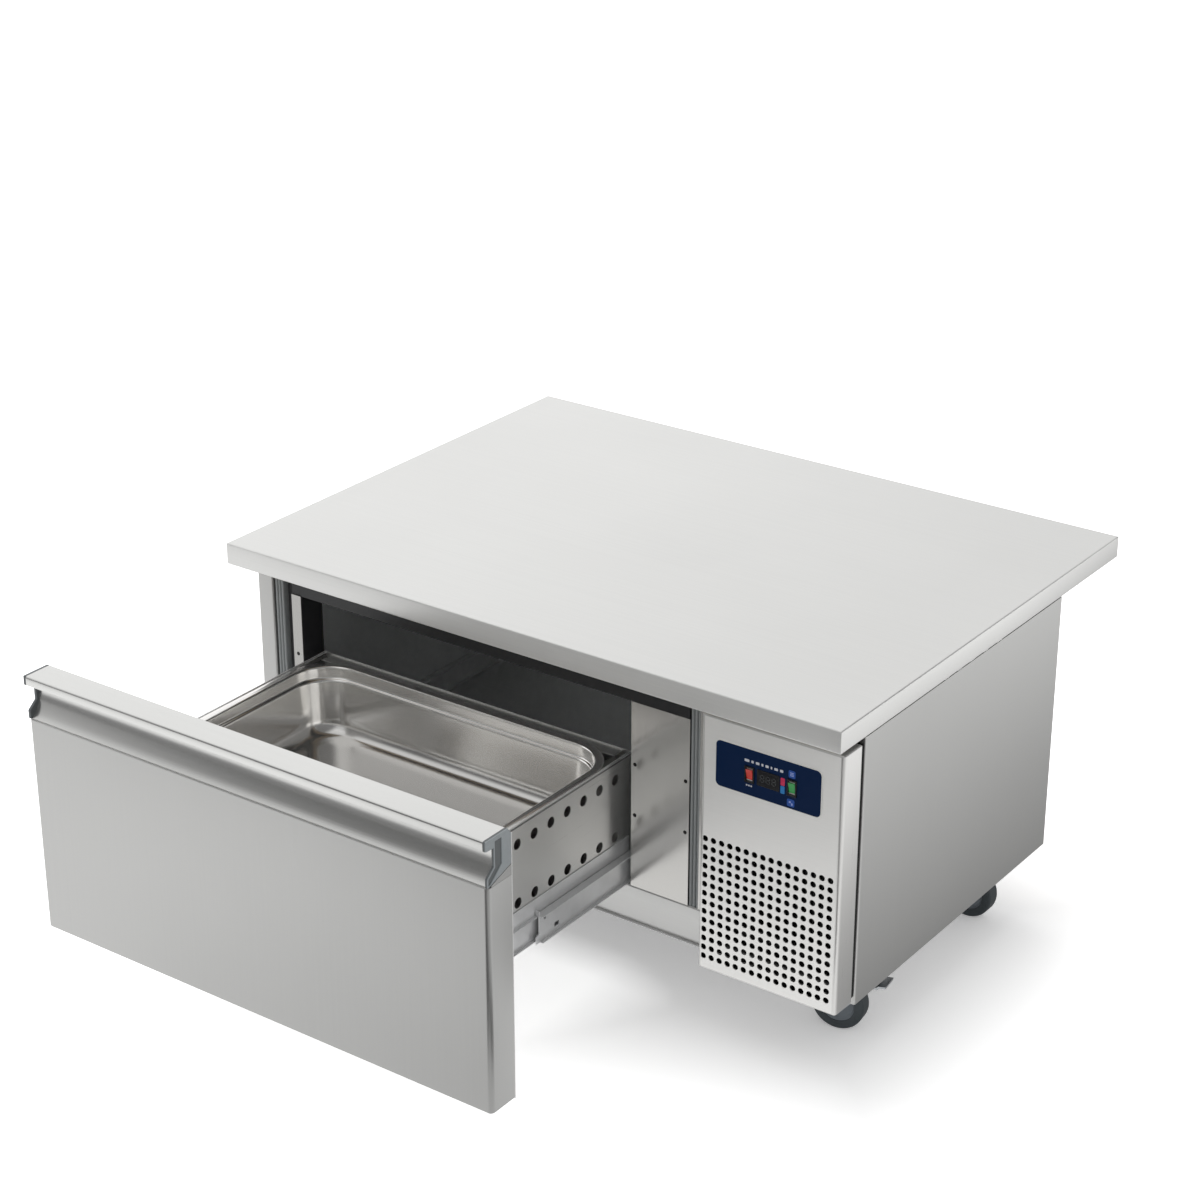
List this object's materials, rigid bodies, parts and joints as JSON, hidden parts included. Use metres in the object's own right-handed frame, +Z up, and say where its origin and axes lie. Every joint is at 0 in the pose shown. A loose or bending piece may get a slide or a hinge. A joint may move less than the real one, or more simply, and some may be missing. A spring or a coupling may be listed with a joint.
{
  "type": "freezer chef base",
  "caption": "Low freezer cabinet on castors with a flat steel worktop, a wide open drawer on telescopic slides holding a pan, and a perforated machine panel.",
  "frame": {"origin": "on the floor, at the middle of the whole part's outline as stored, with the drawer open", "axes": "+X to the right as the user faces the drawer, +Y from the drawer to the back, +Z up"},
  "size_m": [1, 1.164, 0.515],
  "materials": {
    "worktop_steel": "satin",
    "cabinet_steel": "satin",
    "drawer_steel": "satin",
    "polished_steel": "polished",
    "zinc_steel": "satin",
    "core_board": "matte",
    "foam": "matte",
    "liner_steel": "satin",
    "dark_plastic": "matte",
    "grey_plastic": "satin",
    "pale_plastic": "satin",
    "rail_plastic": "matte",
    "navy_film": "satin",
    "black_gloss": "gloss",
    "red_plastic": "gloss",
    "green_plastic": "gloss",
    "coil_aluminium": "satin",
    "black_enamel": "satin",
    "copper": "satin",
    "hub_plastic": "satin",
    "tyre_rubber": "matte",
    "gasket_rubber": "matte"
  },
  "bodies": {
    "cabinet": {"worktop": "worktop_steel", "worktop_core": "core_board", "side_panel_left": "cabinet_steel", "side_panel_right": "cabinet_steel", "back_panel": "cabinet_steel", "base_panel": "zinc_steel", "insulation": "foam", "inner_liner": "liner_steel", "breaker_frame": "dark_plastic", "top_rail": "rail_plastic", "sill": "cabinet_steel", "post_strips": "grey_plastic", "front_plates": "polished_steel", "evaporator_cover": "liner_steel", "evaporator": "coil_aluminium", "cabinet_slides": "zinc_steel", "tech_panel": "cabinet_steel", "control_plate": "navy_film", "display": "black_gloss", "switch_frames": "black_gloss", "control_box": "dark_plastic", "compressor": "black_enamel", "condenser": "coil_aluminium", "fan_shroud": "dark_plastic", "unit_base": "zinc_steel", "refrigerant_pipes": "copper", "drip_tray": "zinc_steel", "power_gland": "dark_plastic", "body_screws": "zinc_steel", "castor_plates": "zinc_steel"},
    "drawer": {"drawer_front": "drawer_steel", "drawer_foam": "foam", "drawer_inner_skin": "pale_plastic", "handle": "drawer_steel", "handle_caps": "grey_plastic", "gasket": "gasket_rubber", "drawer_side_left": "drawer_steel", "drawer_side_right": "drawer_steel", "drawer_tray": "drawer_steel", "pan": "polished_steel", "drawer_slides": "zinc_steel"},
    "slide_middles": {"middle_slides": "zinc_steel"},
    "condenser_fan": {"condenser_fan": "grey_plastic"},
    "evaporator_fan": {"evaporator_fan": "dark_plastic"},
    "red_rocker": {"red_switch": "red_plastic"},
    "green_rocker": {"green_switch": "green_plastic"},
    "castor_fl": {"castor_fork_fl": "zinc_steel"},
    "wheel_fl": {"wheel_hub_fl": "hub_plastic", "tyre_fl": "tyre_rubber"},
    "brake_fl": {"brake_pedal_fl": "zinc_steel"},
    "castor_fr": {"castor_fork_fr": "zinc_steel"},
    "wheel_fr": {"wheel_hub_fr": "hub_plastic", "tyre_fr": "tyre_rubber"},
    "brake_fr": {"brake_pedal_fr": "zinc_steel"},
    "castor_rl": {"castor_fork_rl": "zinc_steel"},
    "wheel_rl": {"wheel_hub_rl": "hub_plastic", "tyre_rl": "tyre_rubber"},
    "castor_rr": {"castor_fork_rr": "zinc_steel"},
    "wheel_rr": {"wheel_hub_rr": "hub_plastic", "tyre_rr": "tyre_rubber"}
  },
  "joints": [
    {"name": "drawer_slide", "type": "slide", "parent": "cabinet", "child": "drawer", "axis": [0, 1, 0], "range_m": [0, 0.423]},
    {"name": "slide_middles_run", "type": "slide", "parent": "cabinet", "child": "slide_middles", "axis": [0, 1, 0], "range_m": [0, 0.2115]},
    {"name": "condenser_fan_spin", "type": "hinge", "parent": "cabinet", "child": "condenser_fan", "pos_m": [0.3855, -0.038, 0.215], "axis": [0, 1, 0], "continuous": true},
    {"name": "evaporator_fan_spin", "type": "hinge", "parent": "cabinet", "child": "evaporator_fan", "pos_m": [0.17, 0.162, 0.325], "axis": [1, 0, 0], "continuous": true},
    {"name": "red_switch_rock", "type": "hinge", "parent": "cabinet", "child": "red_rocker", "pos_m": [0.365, -0.1545, 0.412], "axis": [1, 0, 0], "range_deg": [-22, 0]},
    {"name": "green_switch_rock", "type": "hinge", "parent": "cabinet", "child": "green_rocker", "pos_m": [0.427, -0.1545, 0.412], "axis": [1, 0, 0], "range_deg": [-22, 0]},
    {"name": "castor_fl_swivel", "type": "hinge", "parent": "cabinet", "child": "castor_fl", "pos_m": [-0.457, -0.018, 0.085], "axis": [0, 0, 1], "continuous": true},
    {"name": "wheel_fl_roll", "type": "hinge", "parent": "castor_fl", "child": "wheel_fl", "pos_m": [-0.42927, -0.0141, 0.0375], "axis": [-0.1392, 0.9903, 0], "continuous": true},
    {"name": "brake_fl_pedal", "type": "hinge", "parent": "castor_fl", "child": "brake_fl", "pos_m": [-0.47086, -0.01995, 0.0806], "axis": [-0.1392, 0.9903, 0], "range_deg": [0, 12]},
    {"name": "castor_fr_swivel", "type": "hinge", "parent": "cabinet", "child": "castor_fr", "pos_m": [0.457, -0.018, 0.085], "axis": [0, 0, 1], "continuous": true},
    {"name": "wheel_fr_roll", "type": "hinge", "parent": "castor_fr", "child": "wheel_fr", "pos_m": [0.42927, -0.0219, 0.0375], "axis": [0.1392, -0.9903, 0], "continuous": true},
    {"name": "brake_fr_pedal", "type": "hinge", "parent": "castor_fr", "child": "brake_fr", "pos_m": [0.47086, -0.01605, 0.0806], "axis": [0.1392, -0.9903, 0], "range_deg": [0, 12]},
    {"name": "castor_rl_swivel", "type": "hinge", "parent": "cabinet", "child": "castor_rl", "pos_m": [-0.457, 0.335, 0.085], "axis": [0, 0, 1], "continuous": true},
    {"name": "wheel_rl_roll", "type": "hinge", "parent": "castor_rl", "child": "wheel_rl", "pos_m": [-0.429, 0.335, 0.0375], "axis": [0, 1, 0], "continuous": true},
    {"name": "castor_rr_swivel", "type": "hinge", "parent": "cabinet", "child": "castor_rr", "pos_m": [0.457, 0.335, 0.085], "axis": [0, 0, 1], "continuous": true},
    {"name": "wheel_rr_roll", "type": "hinge", "parent": "castor_rr", "child": "wheel_rr", "pos_m": [0.429, 0.335, 0.0375], "axis": [0, -1, 0], "continuous": true}
  ],
  "couplings": [
    {"joint": "slide_middles_run", "follows": "drawer_slide", "ratio": 0.5}
  ]
}
